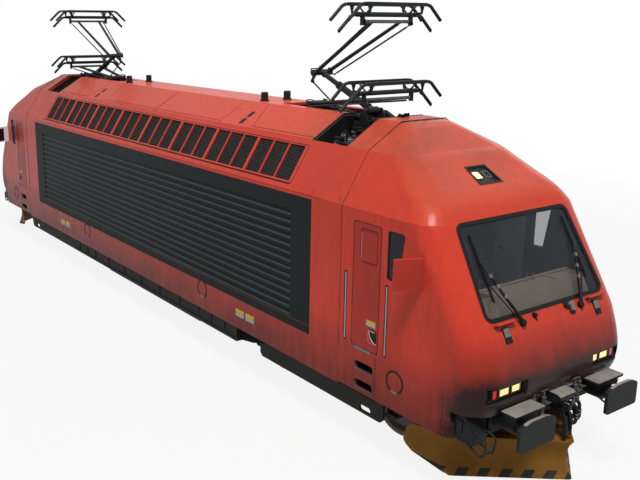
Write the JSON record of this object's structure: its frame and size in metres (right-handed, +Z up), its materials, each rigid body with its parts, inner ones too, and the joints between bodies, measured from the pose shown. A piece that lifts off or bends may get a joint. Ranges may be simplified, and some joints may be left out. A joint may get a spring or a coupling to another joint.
{
  "type": "electric mainline locomotive",
  "caption": "Electric mainline locomotive, a cab with raked windscreen at each end, bogies under a long body, single-arm pantographs, roof air grilles and ribbed dark side panels.",
  "frame": {"origin": "middle of the locomotive, on the plane that the wheel flanges touch (30 mm below the running surface)", "axes": "+X along the track towards the front end, +Y across towards the left-hand side, +Z up"},
  "size_m": [18.5, 3.68, 6.1335],
  "materials": {
    "body_red": "satin, slightly weathered",
    "panel_dark": "satin",
    "grille_mesh": "dull, dusty",
    "equipment_black": "satin",
    "steel_dark": "matt, dusty",
    "wheel_steel": "worn",
    "arm_grey": "satin",
    "insulator_grey": "glazed",
    "glass_tint": "clear, slightly tinted",
    "seal_rubber": "matt",
    "lens_clear": "clear",
    "interior_beige": "matt",
    "seat_fabric": "woven",
    "rail_steel": "satin",
    "hose_rubber": "matt",
    "plough_ochre": "worn"
  },
  "bodies": {
    "carbody": {"brake_hoses": "hose_rubber", "buffer_beams": "steel_dark", "buffers": "equipment_black", "cab_bulkheads": "interior_beige", "cab_shells": "body_red", "cab_skirts": "body_red", "cab_steps": "equipment_black", "draw_gear": "equipment_black", "driver_desks": "interior_beige", "driver_seats": "seat_fabric", "folded_pantographs": "arm_grey", "handrails": "rail_steel", "lamp_housings": "equipment_black", "lamp_lenses": "lens_clear", "mirrors": "body_red", "nose_ledges": "body_red", "pantograph_bases": "arm_grey", "pantograph_wells": "equipment_black", "roof_cylinders": "equipment_black", "roof_edges": "body_red", "roof_end_panels": "body_red", "roof_grilles": "grille_mesh", "roof_hatches": "body_red", "roof_insulators": "insulator_grey", "side_panels": "panel_dark", "side_walls": "body_red", "side_windows": "glass_tint", "snow_ploughs": "plough_ochre", "solebars": "steel_dark", "underfloor_cases": "steel_dark", "underframe": "steel_dark", "window_seals": "seal_rubber", "windscreens": "glass_tint", "wipers": "equipment_black"},
    "front_lower_arm": {"front_lower_arm": "arm_grey"},
    "front_upper_arm": {"front_upper_arm": "arm_grey"},
    "front_head": {"front_head": "arm_grey"},
    "front_guide_rods": {"front_guide_rods": "arm_grey"},
    "front_control_rod": {"front_control_rod": "arm_grey"},
    "front_bogie": {"front_bogie_frame": "steel_dark", "front_bogie_axle_boxes": "steel_dark", "front_bogie_springs": "steel_dark", "front_bogie_motors": "steel_dark"},
    "front_right_door": {"front_right_door": "body_red"},
    "front_left_door": {"front_left_door": "body_red"},
    "rear_lower_arm": {"rear_lower_arm": "arm_grey"},
    "rear_upper_arm": {"rear_upper_arm": "arm_grey"},
    "rear_head": {"rear_head": "arm_grey"},
    "rear_guide_rods": {"rear_guide_rods": "arm_grey"},
    "rear_control_rod": {"rear_control_rod": "arm_grey"},
    "rear_bogie": {"rear_bogie_frame": "steel_dark", "rear_bogie_axle_boxes": "steel_dark", "rear_bogie_springs": "steel_dark", "rear_bogie_motors": "steel_dark"},
    "rear_right_door": {"rear_right_door": "body_red"},
    "rear_left_door": {"rear_left_door": "body_red"},
    "wheelset_1": {"wheelset_1": "wheel_steel"},
    "wheelset_2": {"wheelset_2": "wheel_steel"},
    "wheelset_3": {"wheelset_3": "wheel_steel"},
    "wheelset_4": {"wheelset_4": "wheel_steel"}
  },
  "joints": [
    {"name": "front_pantograph_raise", "type": "hinge", "parent": "carbody", "child": "front_lower_arm", "pos_m": [5.225, 0, 4.53], "axis": [0, 1, 0], "range_deg": [-9, 16]},
    {"name": "front_knee", "type": "hinge", "parent": "front_lower_arm", "child": "front_upper_arm", "pos_m": [3.97867, 0, 5.0488], "axis": [0, 1, 0], "range_deg": [-31.8, 18.15]},
    {"name": "front_head_level", "type": "hinge", "parent": "front_upper_arm", "child": "front_head", "pos_m": [5.47847, 0, 5.85974], "axis": [0, 1, 0], "range_deg": [-9.15, 15.8]},
    {"name": "front_guide_rod_hinge", "type": "hinge", "parent": "front_lower_arm", "child": "front_guide_rods", "pos_m": [4.03067, 0, 5.0108], "axis": [0, 1, 0], "range_deg": [-31.93, 18.22]},
    {"name": "front_control_rod_hinge", "type": "hinge", "parent": "carbody", "child": "front_control_rod", "pos_m": [4.74, 0, 4.375], "axis": [0, 1, 0], "range_deg": [-12.58, 21.9]},
    {"name": "front_bogie_yaw", "type": "hinge", "parent": "carbody", "child": "front_bogie", "pos_m": [5.5, 0, 0.93], "axis": [0, 0, 1], "range_deg": [-3, 3]},
    {"name": "wheelset_1_spin", "type": "hinge", "parent": "front_bogie", "child": "wheelset_1", "pos_m": [6.9, 0, 0.58], "axis": [0, 1, 0], "continuous": true},
    {"name": "wheelset_2_spin", "type": "hinge", "parent": "front_bogie", "child": "wheelset_2", "pos_m": [4.1, 0, 0.58], "axis": [0, 1, 0], "continuous": true},
    {"name": "front_right_door_hinge", "type": "hinge", "parent": "carbody", "child": "front_right_door", "pos_m": [6.605, -1.43, 2.38], "axis": [0, 0, 1], "range_deg": [0, 85]},
    {"name": "front_left_door_hinge", "type": "hinge", "parent": "carbody", "child": "front_left_door", "pos_m": [6.605, 1.43, 2.38], "axis": [0, 0, -1], "range_deg": [0, 85]},
    {"name": "rear_pantograph_raise", "type": "hinge", "parent": "carbody", "child": "rear_lower_arm", "pos_m": [-5.225, 0, 4.53], "axis": [0, -1, 0], "range_deg": [-9, 16]},
    {"name": "rear_knee", "type": "hinge", "parent": "rear_lower_arm", "child": "rear_upper_arm", "pos_m": [-3.97867, 0, 5.0488], "axis": [0, -1, 0], "range_deg": [-31.8, 18.15]},
    {"name": "rear_head_level", "type": "hinge", "parent": "rear_upper_arm", "child": "rear_head", "pos_m": [-5.47847, 0, 5.85974], "axis": [0, -1, 0], "range_deg": [-9.15, 15.8]},
    {"name": "rear_guide_rod_hinge", "type": "hinge", "parent": "rear_lower_arm", "child": "rear_guide_rods", "pos_m": [-4.03067, 0, 5.0108], "axis": [0, -1, 0], "range_deg": [-31.93, 18.22]},
    {"name": "rear_control_rod_hinge", "type": "hinge", "parent": "carbody", "child": "rear_control_rod", "pos_m": [-4.74, 0, 4.375], "axis": [0, -1, 0], "range_deg": [-12.58, 21.9]},
    {"name": "rear_bogie_yaw", "type": "hinge", "parent": "carbody", "child": "rear_bogie", "pos_m": [-5.5, 0, 0.93], "axis": [0, 0, 1], "range_deg": [-3, 3]},
    {"name": "wheelset_4_spin", "type": "hinge", "parent": "rear_bogie", "child": "wheelset_4", "pos_m": [-6.9, 0, 0.58], "axis": [0, 1, 0], "continuous": true},
    {"name": "wheelset_3_spin", "type": "hinge", "parent": "rear_bogie", "child": "wheelset_3", "pos_m": [-4.1, 0, 0.58], "axis": [0, 1, 0], "continuous": true},
    {"name": "rear_left_door_hinge", "type": "hinge", "parent": "carbody", "child": "rear_left_door", "pos_m": [-6.605, 1.43, 2.38], "axis": [0, 0, 1], "range_deg": [0, 85]},
    {"name": "rear_right_door_hinge", "type": "hinge", "parent": "carbody", "child": "rear_right_door", "pos_m": [-6.605, -1.43, 2.38], "axis": [0, 0, -1], "range_deg": [0, 85]}
  ],
  "couplings": [
    {"joint": "front_knee", "follows": "front_pantograph_raise", "ratio": -1.95},
    {"joint": "front_head_level", "follows": "front_pantograph_raise", "ratio": 0.95},
    {"joint": "front_guide_rod_hinge", "follows": "front_pantograph_raise", "ratio": -1.958},
    {"joint": "front_control_rod_hinge", "follows": "front_pantograph_raise", "ratio": 1.3315},
    {"joint": "rear_knee", "follows": "rear_pantograph_raise", "ratio": -1.95},
    {"joint": "rear_head_level", "follows": "rear_pantograph_raise", "ratio": 0.95},
    {"joint": "rear_guide_rod_hinge", "follows": "rear_pantograph_raise", "ratio": -1.958},
    {"joint": "rear_control_rod_hinge", "follows": "rear_pantograph_raise", "ratio": 1.3315}
  ]
}
